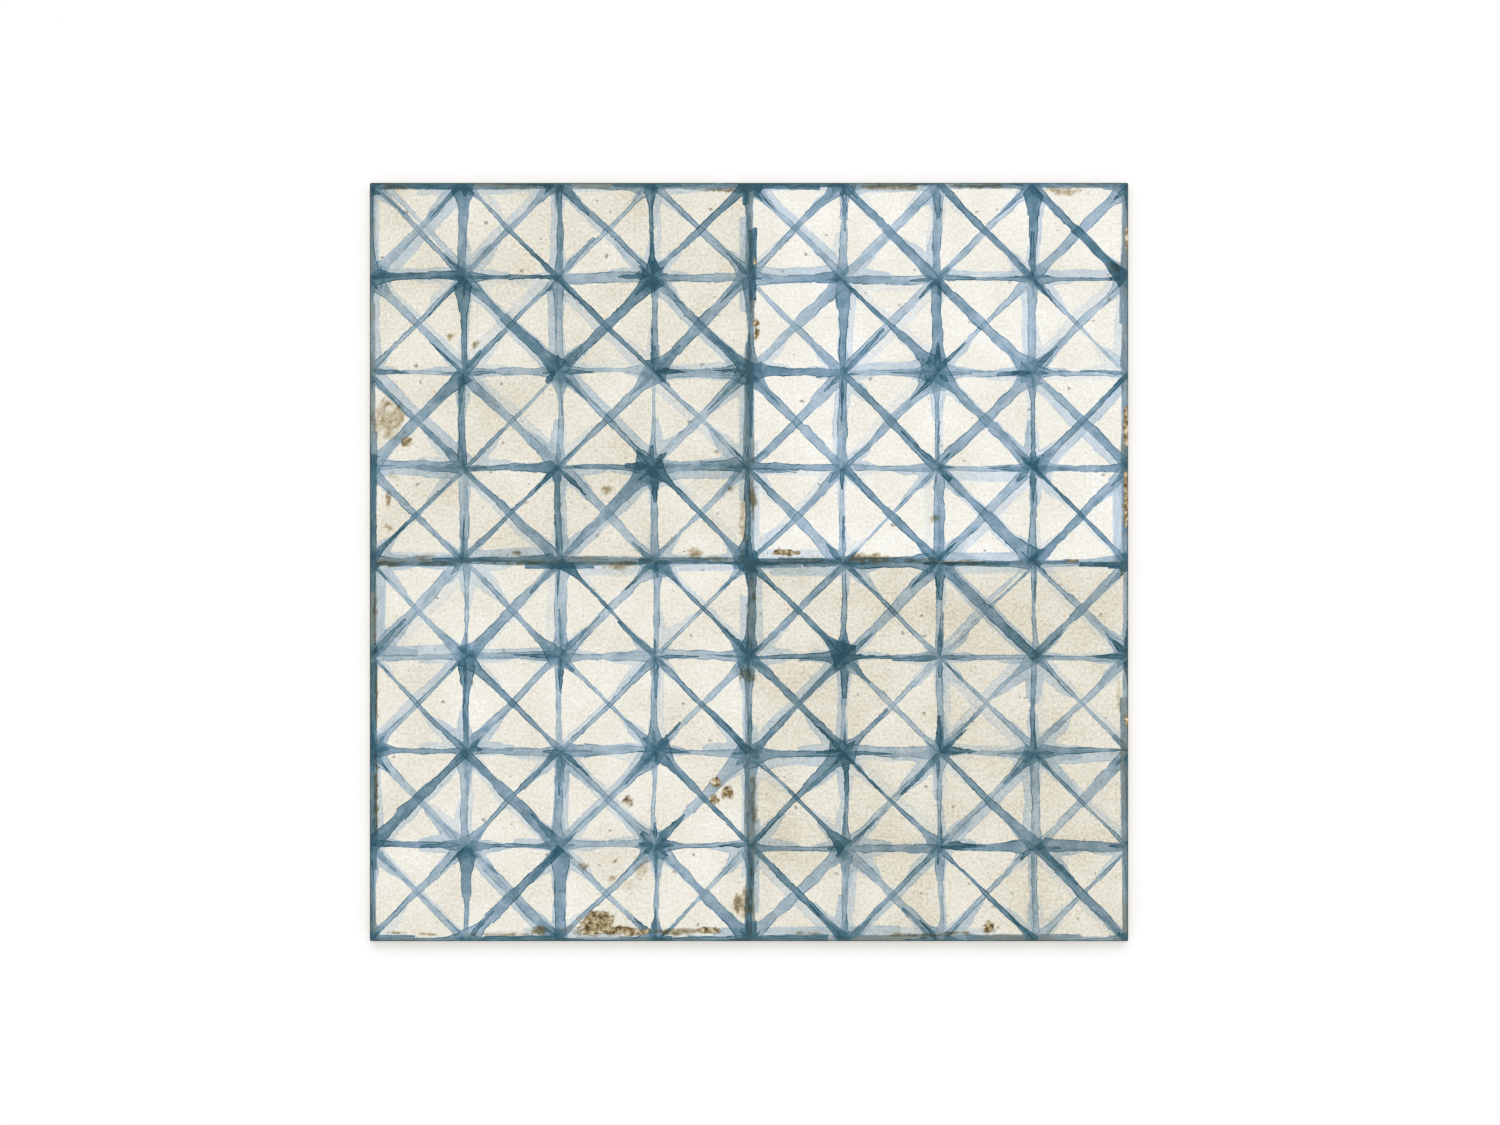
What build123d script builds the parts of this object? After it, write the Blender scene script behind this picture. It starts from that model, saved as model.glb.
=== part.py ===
"""Square glazed floor tile, dust-pressed in one piece.

The face lies up at the full thickness, and the keyed back rests on Z = 0 with the
origin at its centre. A straight rim below the face is what a grout joint meets.
Under the rim the sides draw in, so that the tile leaves its die. The back is pressed
with a waffle of shallow square pockets, which the bedding adhesive keys into.
"""

import os
from math import atan, degrees

from build123d import *

# Driving dimensions, in millimetres
face_side = 450.0
thickness = 10.0

# Edge of the face: its four corners in plan, and the arris where the glaze rolls over
plan_corner_radius = 0.8
arris_radius = 0.4

# Sides: a straight rim below the face, then a flank that draws in towards the back
flank_height = 4.5
flank_draw_in = 0.5

# Keyed back: square pockets between ribs, inside a plain land round the border
pocket_side = 47.0
pocket_depth = 0.8
pocket_draw_in = 0.6
pocket_corner_radius = 4.5
rib_width = 5.0
least_border_land = 12.0

# Sizes that follow from these
rim_height = thickness - flank_height
flank_draft = degrees(atan(flank_draw_in / flank_height))
pocket_draft = degrees(atan(pocket_draw_in / pocket_depth))
back_side = face_side - 2 * flank_draw_in
pocket_pitch = pocket_side + rib_width
pockets_across = int((back_side - 2 * least_border_land + rib_width) // pocket_pitch)

with BuildPart() as floor_tile:
    # Body: the rim rises from the parting line, and the flank draws in below it
    with BuildSketch(Plane.XY.offset(flank_height)) as plan:
        RectangleRounded(face_side, face_side, plan_corner_radius)
    extrude(plan.sketch, amount=rim_height)
    extrude(plan.sketch, amount=-flank_height, taper=flank_draft)

    # Rolled arris all round the face
    face = floor_tile.faces().sort_by(Axis.Z)[-1]
    fillet(face.edges(), radius=arris_radius)

    # Waffle of pockets in the back, each narrowing towards its floor
    with BuildSketch(Plane.XY) as pockets:
        with GridLocations(pocket_pitch, pocket_pitch, pockets_across, pockets_across):
            RectangleRounded(pocket_side, pocket_side, pocket_corner_radius)
    extrude(pockets.sketch, amount=pocket_depth, taper=pocket_draft, mode=Mode.SUBTRACT)

floor_tile.part.label = "floor_tile"

os.makedirs("parts", exist_ok=True)
export_step(floor_tile.part, "parts/floor_tile.step")
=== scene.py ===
"""Looks of the square floor tile: a worn cream glaze with a blue lattice brushed over it.

The lattice is the common one of squares crossed by both diagonals. Every stroke of it is
drawn here by a seeded procedure, so that no two are alike. Lengths in the painting are in
millimetres, measured from the tile's near left corner.
"""

from functools import partial
from math import atan, cos, pi, radians, sin, sqrt

import bmesh
import bpy
import numpy as np
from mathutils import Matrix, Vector, noise


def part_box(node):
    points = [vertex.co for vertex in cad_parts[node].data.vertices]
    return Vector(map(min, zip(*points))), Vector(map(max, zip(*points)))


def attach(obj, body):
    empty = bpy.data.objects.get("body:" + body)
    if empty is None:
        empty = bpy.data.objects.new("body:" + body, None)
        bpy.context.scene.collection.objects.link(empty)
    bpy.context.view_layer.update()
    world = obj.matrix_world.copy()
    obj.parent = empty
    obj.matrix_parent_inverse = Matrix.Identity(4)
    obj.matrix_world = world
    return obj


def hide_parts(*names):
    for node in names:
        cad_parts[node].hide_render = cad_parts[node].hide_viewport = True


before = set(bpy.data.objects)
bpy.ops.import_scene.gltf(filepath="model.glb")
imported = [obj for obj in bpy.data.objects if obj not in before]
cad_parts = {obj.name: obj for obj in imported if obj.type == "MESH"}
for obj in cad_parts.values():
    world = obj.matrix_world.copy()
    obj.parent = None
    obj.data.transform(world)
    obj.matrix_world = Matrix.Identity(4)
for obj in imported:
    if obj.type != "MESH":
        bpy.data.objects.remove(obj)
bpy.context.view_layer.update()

MM = 0.001

# Tile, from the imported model
LOW, HIGH = (Vector(corner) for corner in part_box("floor_tile"))
SIDE = (HIGH.x - LOW.x) / MM
TOP = HIGH.z

# Lattice: the face imitates four old tiles, and each of those has four cells a side
CELLS = 8
CELL = SIDE / CELLS
QUARTER = SIDE / 2

# Height above which the sides carry glaze, in mm, and how far its edge runs up and down
GLAZE_LINE = 6.6
GLAZE_RUN = 3.0

# Frame of the photograph and the tile's place in it in pixels, and the camera's height in metres
PHOTO_WIDTH = 1500
PHOTO_HEIGHT = 1125
TILE_CENTRE_PX = (749.0, 562.0)
TILE_SIDE_PX = 758.5
CAMERA_HEIGHT = 3.0

# Floor: its size, how far it lies below the tile, and how much of its white is shaded and how much glows
FLOOR_SIZE = 12.0
FLOOR_DROP = 0.05 * MM
FLOOR_SHADED = 0.82
FLOOR_GLOW = 0.22

# The floor starts to turn plain white this far from the tile, and is so at twice the distance
SHADOW_REACH = 0.02

# Light: the share from all round, and the tilt and spread of the key light that adds the rest
SKY = 0.76
KEY_TILT = radians(30)
KEY_SPREAD = radians(45)

# Lengths shorter than this count as nothing, in metres
TOUCH = 1e-6

# Worn face: the collar round its grid, whose lines are closer within a reach of the edges and the joint
COLLAR = 0.8 * MM
FINE_GRID = 1.0 * MM
COARSE_GRID = 2.4 * MM
FINE_REACH = 22.0 * MM
CORNER_STEPS = 5
ARRIS_STEPS = 5
RIM_STEPS = 2

# Share of the rim that its rings go down, which leaves a narrow strip above the parting line
RIM_SHARE = 1 / 1.05

# Edges sharper than this aren't shaded as one smooth surface
SHARP = radians(35)

# Glaze: how deep its face dips, how deep the arris is nicked, and how bare a nick is
DIP = 0.07 * MM
DIP_SIZE = 38.0 * MM
NICK = 0.3 * MM
NICK_SIZE = 5.0 * MM
NICK_BARENESS = 0.3

# Chips in the glaze: centre from the middle of the face, half sizes and depth in mm, and how bare each is
CHIPS = (
    (-90, -213.5, 10, 7, 0.45, 1),
    (-86, -218.5, 17, 2.6, 0.40, 1),
    (-67, -219.5, 9, 2, 0.30, 0.9),
    (-22.5, -218.8, 7.5, 2, 0.25, 0.9),
    (142.5, -216.5, 3.6, 3.2, 0.40, 1),
    (-19.6, -130.6, 4.5, 3.5, 0.30, 1),
    (-12.5, -136.5, 3.5, 4, 0.30, 1),
    (-20.2, -141.3, 3, 2.5, 0.25, 1),
    (-71.8, -141.3, 3, 3, 0.20, 0.7),
    (-6.5, -202.5, 2.2, 3.4, 0.30, 0.5),
    (22.5, 5.6, 10, 1.7, 0.25, 1),
    (4.2, 142, 1.8, 2.2, 0.25, 1),
    (4.6, 134.5, 2, 3.4, 0.25, 1),
    (3.3, 178, 1.3, 2.2, 0.20, 0.9),
    (191.6, 1, 4.2, 0.9, 0.15, 0.9),
    (223.7, 80, 1.5, 16.5, 0.15, 1),
    (223.7, 38, 1.5, 19, 0.15, 0.9),
    (223.9, 192, 1.1, 8, 0.15, 0.9),
    (223.9, -93.5, 1.1, 5.4, 0.15, 0.9),
    (-203, 72.4, 2.2, 2.4, 0.15, 0.9),
)

# Chips are worked out to this many half sizes, with lumps and pits of these sizes in mm and a soft edge
CHIP_REACH = 2.0
CHIP_LUMP = 3.0
CHIP_PIT = 1.3
CHIP_SOFTNESS = 0.45

# Dirt on the glaze: centre from the middle of the face, half sizes in mm, and how dark each mark is
MARKS = (
    (-212, -1.2, 7.5, 1.6, 0.6),
    (-193, 3.1, 4.5, 2, 0.5),
    (-184.5, -0.9, 10, 1.5, 0.5),
    (-137.3, 5.2, 2.7, 1.4, 0.9),
    (-132, -0.6, 14, 0.9, 0.7),
    (-75.3, -1.8, 7.5, 2.2, 0.65),
    (-33.8, 5, 4.2, 2.8, 0.7),
    (-22, 2.1, 7, 1.3, 0.5),
    (31.4, 1.2, 20, 1.3, 0.5),
    (70.6, 1.8, 11.5, 2.4, 0.8),
    (102.6, 0.9, 9, 1.5, 0.6),
    (131, -0.4, 13.5, 1.2, 0.65),
    (2.2, 152.5, 1.4, 11, 0.5),
    (0.6, 188.7, 1.5, 11.5, 0.4),
    (2.1, 37.4, 1.6, 9, 0.8),
    (-2.7, 22, 2, 22, 0.5),
    (-4.2, 19.6, 1.5, 6, 0.5),
    (2.2, 67, 1, 7, 0.5),
    (-10.7, 43, 1.8, 1.5, 0.8),
    (1.5, -12.8, 0.9, 6.8, 0.5),
    (2.8, -20.8, 1, 3.5, 0.7),
    (-0.3, -67.7, 3.4, 3.6, 0.65),
    (-4.7, -67.1, 0.9, 4.2, 0.8),
    (2.7, -143, 1.8, 11.5, 0.55),
    (3.2, -150.5, 1.2, 2.8, 0.8),
    (1.5, -183.6, 1.5, 4.4, 0.55),
    (-2, -203, 3.3, 7, 0.7),
    (-208.7, -220, 5, 0.9, 0.8),
    (-191.3, -220.8, 4.3, 0.9, 0.75),
    (-147, -221, 19, 0.9, 0.7),
    (-123.8, -218.5, 4.6, 2.1, 0.9),
    (-43.6, -219.4, 14, 1.7, 0.8),
    (-86, -219, 20, 3, 0.5),
    (33.8, -220.5, 7, 0.9, 0.55),
    (99, -221.3, 14, 0.9, 0.75),
    (123.7, -220, 5.8, 0.9, 0.85),
    (-222.7, 199.6, 0.9, 19, 0.4),
    (-213.8, 83.5, 8.5, 10, 0.55),
    (-214, 94, 3.2, 1.6, 0.85),
    (-208.5, 90.8, 1.8, 2, 0.75),
    (-205.5, 85.8, 1.2, 2, 0.75),
    (-203, 71.8, 2.6, 2.6, 1),
    (-214, 38.3, 1.2, 4, 0.7),
    (-213.6, 19.8, 2.5, 2, 0.5),
    (-211, 50.4, 3.2, 2.5, 0.4),
    (-221.6, -30.6, 0.9, 22, 0.65),
    (-221, -84.6, 0.9, 21, 0.75),
    (-221.2, -139, 1, 21, 0.95),
    (217, 174, 4.5, 3.9, 0.55),
    (213.4, 156, 1.3, 1.3, 0.8),
    (221.3, -6, 1, 2, 0.8),
    (219.5, -78.6, 1.5, 10, 0.35),
    (-210, 222.3, 8.4, 1.6, 0.5),
    (-137, 223, 20, 1.4, 0.4),
    (-17.3, 220.6, 12.5, 0.9, 0.85),
    (85.5, 222.5, 18.5, 1.8, 0.7),
    (135.4, 223, 13.5, 1, 0.7),
    (187, 220, 11, 2.2, 0.6),
    (-177.5, 134.7, 2, 2, 0.8),
    (-162.6, 128.8, 1.8, 1.6, 0.9),
    (-84.4, 42.8, 2.4, 2.2, 0.8),
    (108.6, 24.9, 2.6, 2.2, 0.8),
    (-65.9, -182.8, 1.8, 1.8, 0.8),
    (-63, -181.5, 4.5, 5.5, 0.45),
    (-70.6, -191.8, 4, 4.5, 0.4),
    (-80.7, -187.6, 2, 2.8, 0.6),
    (-79.6, -178.1, 2, 1.4, 0.85),
    (-98.6, -179.9, 2.4, 2.4, 0.65),
    (-7, -202, 2.4, 4.4, 0.95),
)

# Dirt is worked out to this many half sizes, with lumps of this size in mm
DIRT_REACH = 2.4
DIRT_LUMP = 4.0

# Material slots of the worn tile
FACE, BODY = 0, 1


class Seed:
    """Seeds of the dice."""
    SPECKS = 16
    STRAIGHT, RISING, FALLING = 40, 45, 48
    BORDER_BAND, BORDER_DARK, BORDER_WASH = range(60, 63)
    RAY_AGAIN, RAY_DARK = 60, 75
    CROSSING, POOL = 91, 110


class Clouds:
    """Smooth noise: the size of its lumps in mm, its seed, its detail and, for some, its roughness."""
    SWAY = (30.0, 3, 0.0)
    ROUGH = (3.0, 4, 1.0, 0.6)
    SWELL = (13.0, 5, 1.0)
    LUMPS = (4.5, 6, 2.0)
    RIM = (12.0, 7, 0.0)
    WET = (22.0, 8, 0.0)
    BLOTCH = (8.0, 9, 2.0)
    MOTTLE = (1.2, 10, 1.0)
    CREAM_GRAIN = (1.7, 11, 2.0, 0.6)
    PATCH = (42.0, 12, 3.0, 0.6)
    STREAK = (1.4, 13, 1.0)
    FINE = (1.5, 15, 2.0, 0.7)
    HOLES = (3.2, 17, 2.0, 0.6)
    GLAZE_BUMP = (1.6, 18, 1.0)
    BODY_GRAIN = (1.2, 31, 3.0, 0.75)
    BODY_DRIFT = (38.0, 32, 3.0, 0.55)
    KILN_WASH = (7.0, 33, 3.0, 0.7)
    GLAZE_EDGE = (12.0, 41, 2.0)
    BORDER_QUICK = (6.0, 51, 2.0)
    BORDER_STREAK = (0.8, 52, 1.0)
    BORDER_WORN = (30.0, 53, 1.0)


class Field:
    """A number that varies over a surface: what a socket gives, times a scale, plus an offset.

    Plain numbers only change the scale and the offset. Other arithmetic adds Math nodes to the tree.
    """

    def __init__(self, socket, scale=1.0, offset=0.0):
        self.socket = socket
        self.scale = scale
        self.offset = offset

    def __add__(self, other):
        if not isinstance(other, Field):
            return Field(self.socket, self.scale, self.offset + other)
        total = math_socket("MULTIPLY_ADD", other.socket, other.scale / self.scale, self.socket)
        return Field(total, self.scale, self.offset + other.offset)

    def __mul__(self, other):
        if not isinstance(other, Field):
            return Field(self.socket, self.scale * other, self.offset * other)
        return Field(math_socket("MULTIPLY", self.unscaled(), other.unscaled()), self.scale * other.scale)

    def __sub__(self, other):
        return self + other * -1.0

    def __rsub__(self, other):
        return self * -1.0 + other

    def __truediv__(self, number):
        return self * (1.0 / number)

    def __abs__(self):
        return Field(math_socket("ABSOLUTE", self.unscaled()), abs(self.scale))

    def unscaled(self):
        """A socket that gives the number over its scale."""
        if self.offset != 0.0:
            self.socket = math_socket("ADD", self.socket, self.offset / self.scale)
            self.offset = 0.0
        return self.socket

    def whole(self):
        """A socket that gives the number itself."""
        if self.scale != 1.0 or self.offset != 0.0:
            self.socket = math_socket("MULTIPLY_ADD", self.socket, self.scale, self.offset)
            self.scale = 1.0
            self.offset = 0.0
        return self.socket

    def level_at(self, number):
        """What the socket gives where the field is that number."""
        return (number - self.offset) / self.scale

    __radd__ = __add__
    __rmul__ = __mul__


class Tree:
    """The node tree that is being written."""
    nodes = None
    links = None


def write_into(owner):
    """Turns to the node tree of a material or a world."""
    owner.use_nodes = True
    Tree.nodes = owner.node_tree.nodes
    Tree.links = owner.node_tree.links


def add_node(kind, **settings):
    node = Tree.nodes.new(kind)
    for name, value in settings.items():
        setattr(node, name, value)
    return node


def plug(socket, value):
    """Links a field or another socket to a socket, or writes a plain value into it."""
    if isinstance(value, Field):
        value = value.whole()
    if isinstance(value, bpy.types.NodeSocket):
        Tree.links.new(value, socket)
    else:
        socket.default_value = value


def math_socket(operation, *values):
    node = add_node("ShaderNodeMath", operation=operation)
    for socket, value in zip(node.inputs, values):
        plug(socket, value)
    return node.outputs[0]


def calculate(operation, *values):
    return Field(math_socket(operation, *values))


floor_of = partial(calculate, "FLOOR")
nearest = partial(calculate, "ROUND")
lower = partial(calculate, "MINIMUM")
higher = partial(calculate, "MAXIMUM")
power = partial(calculate, "POWER")


def above(value, limit):
    """1 where the value is over the limit, and 0 elsewhere."""
    return calculate("GREATER_THAN", value, limit)


def ramp(value, low, high, start=0.0, end=1.0, kind="SMOOTHSTEP"):
    """Goes from start to end while the value goes from low to high."""
    node = add_node("ShaderNodeMapRange", interpolation_type=kind, clamp=True)
    if not isinstance(low, Field) and not isinstance(high, Field):
        low, high, value = value.level_at(low), value.level_at(high), value.socket
    for socket, given in zip(node.inputs, (value, low, high, start, end)):
        plug(socket, given)
    return Field(node.outputs[0])


def between(share, limits):
    """The number at that share of the way from the first limit to the second."""
    return share * (limits[1] - limits[0]) + limits[0]


def choose(switch, yes, no):
    """One value where the switch is 1, and the other where it is 0."""
    node = add_node("ShaderNodeMix", data_type="FLOAT")
    for socket, value in zip((node.inputs[0], node.inputs[2], node.inputs[3]), (switch, no, yes)):
        plug(socket, value)
    return Field(node.outputs[0])


def distance_of(x, y):
    node = add_node("ShaderNodeVectorMath", operation="LENGTH")
    plug(node.inputs[0], vector(x, y))
    return Field(node.outputs["Value"])


def vector(x, y, z=0.0):
    node = add_node("ShaderNodeCombineXYZ")
    for socket, value in zip(node.inputs, (x, y, z)):
        plug(socket, value)
    return Field(node.outputs[0])


def parts_of(field):
    node = add_node("ShaderNodeSeparateXYZ")
    plug(node.inputs[0], field)
    return tuple(Field(output) for output in node.outputs)


def cloud_node(x, y, size, seed, detail, roughness, z=0.0):
    node = add_node("ShaderNodeTexNoise", noise_dimensions="3D")
    plug(node.inputs["Vector"], vector(x, y, z + seed * size))
    plug(node.inputs["Scale"], 1.0 / size)
    plug(node.inputs["Detail"], detail)
    plug(node.inputs["Roughness"], roughness)
    return node


def cloud(x, y, size, seed, detail, roughness=0.55, z=0.0):
    """Smooth noise about zero, mostly between -0.5 and 0.5, with lumps of about that size."""
    return Field(cloud_node(x, y, size, seed, detail, roughness, z).outputs[0], 1.0, -0.5)


def two_clouds(x, y, size, seed, detail, roughness=0.55):
    """Two unlike clouds from one node."""
    first, second, _ = parts_of(Field(cloud_node(x, y, size, seed, detail, roughness).outputs[1]))
    return first - 0.5, second - 0.5


def dice(a, b, seed):
    """Three random numbers from 0 to 1, the same wherever a, b and the seed are."""
    node = add_node("ShaderNodeTexWhiteNoise", noise_dimensions="3D")
    plug(node.inputs["Vector"], vector(a, b, seed))
    return parts_of(Field(node.outputs["Color"]))


def colour_mix(factor, first, second, blend="MIX"):
    node = add_node("ShaderNodeMix", data_type="RGBA", blend_type=blend, clamp_factor=True)
    plug(node.inputs["Factor"], factor)
    plug(node.inputs[6], first)
    plug(node.inputs[7], second)
    return Field(node.outputs[2])


def rgb(screen):
    """A colour given as on a screen, from 0 to 255, in Blender's linear values."""
    linear = []
    for level in screen:
        share = level / 255
        linear.append(share / 12.92 if share <= 0.04045 else ((share + 0.055) / 1.055) ** 2.4)
    return (*linear, 1.0)


# Added to the numbers of upright lines, and of crossings past the middle, so that their dice differ
UPRIGHT_NUMBERS = 40.0
PAST_MIDDLE = 50.0


# Painting: the lattice lines, and the strokes laid along them
class Line:
    """The nearest lattice line of one kind: its segment, the way along it and off it.

    Level and upright lines are one kind, straight: the diagonals lie where one gives way to the other.
    """

    def __init__(self, x, y, kind):
        if kind == "straight":
            row = nearest(y)
            column = nearest(x)
            level = above(abs(x - column), abs(y - row))
            self.number = choose(level, row, column + UPRIGHT_NUMBERS)
            offset = choose(level, y - row, x - column)
            along = choose(level, x, y)
        else:
            rise = 1.0 if kind == "rising" else -1.0
            above_line = y - x * rise
            self.number = nearest(above_line)
            offset = (above_line - self.number) * sqrt(0.5)
            along = (x + y * rise - self.number * rise) * 0.5
        self.length = CELL if kind == "straight" else CELL * sqrt(2)
        self.across = offset * CELL
        self.segment = floor_of(along)
        self.share = along - self.segment


# Rays that leave each crossing
RAYS = 8.0


class Spoke:
    """The nearest crossing, the nearest of its eight rays, and the wedge between two of them."""

    def __init__(self, brush):
        column = nearest(brush.x)
        row = nearest(brush.y)
        dx = (brush.x - column) * CELL
        dy = (brush.y - row) * CELL
        self.column = column + brush.right * PAST_MIDDLE
        self.row = row + brush.upper * PAST_MIDDLE
        self.distance = distance_of(dx, dy)
        turn = calculate("ARCTAN2", dy, dx) * (RAYS / 2 / pi)
        wedge = floor_of(turn)
        self.wedge = calculate("FLOORED_MODULO", wedge, RAYS)
        self.off_middle = abs(turn - wedge - 0.5) * 2.0
        ray = nearest(turn)
        self.ray = calculate("FLOORED_MODULO", ray, RAYS)
        cosine = calculate("COSINE", ray * (2 * pi / RAYS))
        sine = calculate("SINE", ray * (2 * pi / RAYS))
        self.star, self.radius, self.strength = dice(self.column, self.row, Seed.CROSSING)
        self.weight = ramp(self.star, 0.1, 0.95, 0.3, 1.6)
        self.run = dx * cosine + dy * sine
        self.across = dy * cosine - dx * sine


# In mm: the hand's sway, how far the upper and right quarters are out of line, and the shift of them all
SWAY = 2.2
UPPER_SHIFT = 1.1
RIGHT_SHIFT = 0.9
ALL_SHIFT = (-0.6, -0.4)


class Brush:
    """Unevenness that all strokes share: hand sway, ragged edges, swelling and darker rims."""

    def __init__(self, x_mm, y_mm):
        sway_x, sway_y = two_clouds(x_mm, y_mm, *Clouds.SWAY)
        rough_x, rough_y = two_clouds(x_mm, y_mm, *Clouds.ROUGH)
        wet = cloud(x_mm, y_mm, *Clouds.WET)
        ragged = ramp(wet, -0.15, 0.15, 1.5, 0.3)
        self.right = above(x_mm, QUARTER)
        self.upper = above(y_mm, QUARTER)
        shifted_x = x_mm + self.upper * UPPER_SHIFT + ALL_SHIFT[0]
        shifted_y = y_mm + self.right * RIGHT_SHIFT + ALL_SHIFT[1]
        self.x = (shifted_x + sway_x * SWAY + rough_x * ragged) / CELL
        self.y = (shifted_y + sway_y * SWAY + rough_y * ragged) / CELL
        self.swell = cloud(x_mm, y_mm, *Clouds.SWELL)
        self.lumps = cloud(x_mm, y_mm, *Clouds.LUMPS)
        self.rim_gain = ramp(cloud(x_mm, y_mm, *Clouds.RIM), -0.15, 0.15, 0.2, 1.2)
        self.edge = ramp(wet, 0.0, 0.25, 0.2, 0.6)
        self.soften = ramp(wet, 0.0, 0.25, 0.25, 2.0)

    def run_together(self, distance):
        """Fades the rims near a crossing, where wet strokes run into each other."""
        self.rim_gain = self.rim_gain * ramp(distance, 3.0, 9.0, 0.1, 1.0)


# Taken off the depth of a stroke that isn't there, and the depths in mm between which a rim fades
ABSENT = 100.0
RIM_LOW = 0.4
RIM_HIGH = 0.95


def nearness(distance, reach):
    """1 at a crossing, falling to nothing at that reach from it."""
    rest = ramp(distance, 0.0, reach, 1.0, 0.0, "LINEAR")
    return rest * rest


def pigment(depth, tone, softness, rim_gain=0.0):
    """Pigment of a stroke from how deep a point lies inside its edge: even, with a darker rim."""
    cover = ramp(depth, 0.0, softness) * tone
    if rim_gain == 0.0:
        return cover
    return cover + cover * (ramp(depth, RIM_LOW, RIM_HIGH, 1.0, 0.0) * rim_gain)


def over(under, mark, share):
    """A mark laid over others: the stronger shows, and the weaker adds a share."""
    return higher(under, mark) + lower(under, mark) * share


# Main strokes in mm: half widths, how far off and askew they lie, and how far they flare at a crossing
STROKE_HALVES = (1.2, 3.2)
STROKE_OFF = 2.0
STROKE_SKEW = 3.2
FLARE = 5.4
FLARE_REACH = 18.0

# Washes beside them: how far off and how much wider in mm, their tones, and how many there are
WASH_OFF = 9.0
WASH_WIDER = 2.4
WASH_TONES = (0.06, 0.39)
WASH_CHANCE = 0.45


def main_stroke(line, seed, brush, spoke):
    """The stroke along one segment, a little off its line and wider at its ends, and a pale wash."""
    shift, slope, girth = dice(line.number, line.segment, seed)
    flare_a, flare_b, strength = dice(line.number, line.segment, seed + 0.3)
    lean, fade, luck = dice(line.number, line.segment, seed + 0.6)
    middle = line.share - 0.5
    across = line.across - (shift - 0.5) * STROKE_OFF - middle * (slope - 0.5) * STROKE_SKEW

    half = between(girth, STROKE_HALVES) * (middle * (flare_b - flare_a) * 1.3 + 1.0)
    half = half * (above(line.share, lean) * 0.25 + 0.85) * (brush.swell * 0.9 + 1.0)
    start = line.share * line.length
    flare_start = nearness(start, FLARE_REACH) * flare_a
    flare_end = nearness(line.length - start, FLARE_REACH) * flare_b
    flared = (flare_start + flare_end) * spoke.weight
    half = half + flared * FLARE
    tone = (strength * strength * 0.7 + 0.50) * (middle * (fade - 0.5) * 1.8 + 1.0) + flared * 0.2
    stroke = pigment(half - abs(across), tone, brush.edge, brush.rim_gain)

    beside = across - (lean - 0.5) * WASH_OFF
    wash_depth = half + slope * WASH_WIDER - abs(beside) - above(luck, WASH_CHANCE) * ABSENT
    wash = pigment(wash_depth, between(fade, WASH_TONES), brush.soften, 0.5)
    return over(stroke, wash, 0.5)


# Edge softness of accents and knots in mm
ACCENT_EDGE = 0.22


def ray_stroke(spoke, brush, seed, chances, lengths, halves, tones):
    """A stroke laid again over a ray, from its crossing outwards, with a ragged end."""
    chance = ramp(spoke.star, *chances, "LINEAR")
    reach, girth, luck = dice(spoke.column, spoke.row, spoke.ray + seed)
    shift, slope, strength = dice(spoke.column, spoke.row, spoke.ray + seed + 0.5)
    across = spoke.across - (shift - 0.5) * STROKE_OFF - spoke.run * (slope - 0.5) * 0.10
    length = between(reach * reach, lengths)
    half = between(girth, halves) * (brush.lumps * 1.4 + 1.0)
    root = ramp(spoke.run, 0.0, 9.0, shift, 1.2, "LINEAR")
    half = half * lower(root, ramp(spoke.run, 0.0, length, 1.3, slope * 0.6, "LINEAR"))
    depth = lower(half - abs(across), (length - spoke.run) * 0.7 + brush.lumps * 4.0)
    depth = depth - above(luck, chance) * ABSENT
    return pigment(depth, between(strength, tones), ACCENT_EDGE, brush.rim_gain)


# Knots: their radii in mm, how far their edges wander, and the dice below which a crossing has none
KNOT_RADII = (1.2, 4.2)
KNOT_WANDER = 8.0
NO_KNOT = 0.3


def knot(spoke, brush):
    """An uneven blot on many of the crossings, dark on some and pale on others."""
    radius = between(spoke.radius, KNOT_RADII) + brush.lumps * KNOT_WANDER
    depth = radius - above(NO_KNOT, spoke.star) * ABSENT - spoke.distance
    tone = spoke.strength * 0.5 + spoke.star * 0.35 + 0.1
    return pigment(depth, tone, ACCENT_EDGE, brush.rim_gain)


# Pools: their reach from a crossing and their edges' wander in mm, their tones, and how many there are
POOL_REACHES = (12.0, 36.0)
POOL_WANDER = 12.0
POOL_TONES = (0.1, 0.44)
POOL_CHANCE = 0.68


def pool(spoke, brush):
    """A pale wash that fills some of the wedges between two rays, hollow towards the cell."""
    reach, luck, strength = dice(spoke.column, spoke.row, spoke.wedge + Seed.POOL)
    edge = between(reach, POOL_REACHES) * (power(spoke.off_middle, 1.5) * 0.65 + 0.45)
    depth = edge + brush.swell * POOL_WANDER - spoke.distance - above(luck, POOL_CHANCE) * ABSENT
    return pigment(depth, between(strength, POOL_TONES), brush.soften, brush.rim_gain)


# Strokes again over rays: a ramp from a crossing's dice to their chance, lengths, half widths and tones
AGAIN = ((0.0, 1.0, 0.5, 0.7), (10.0, 36.0), (0.9, 2.0), (0.5, 1.1))
DARK = ((0.55, 0.95, 0.06, 0.7), (8.0, 28.0), (1.3, 3.2), (0.9, 1.6))


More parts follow.
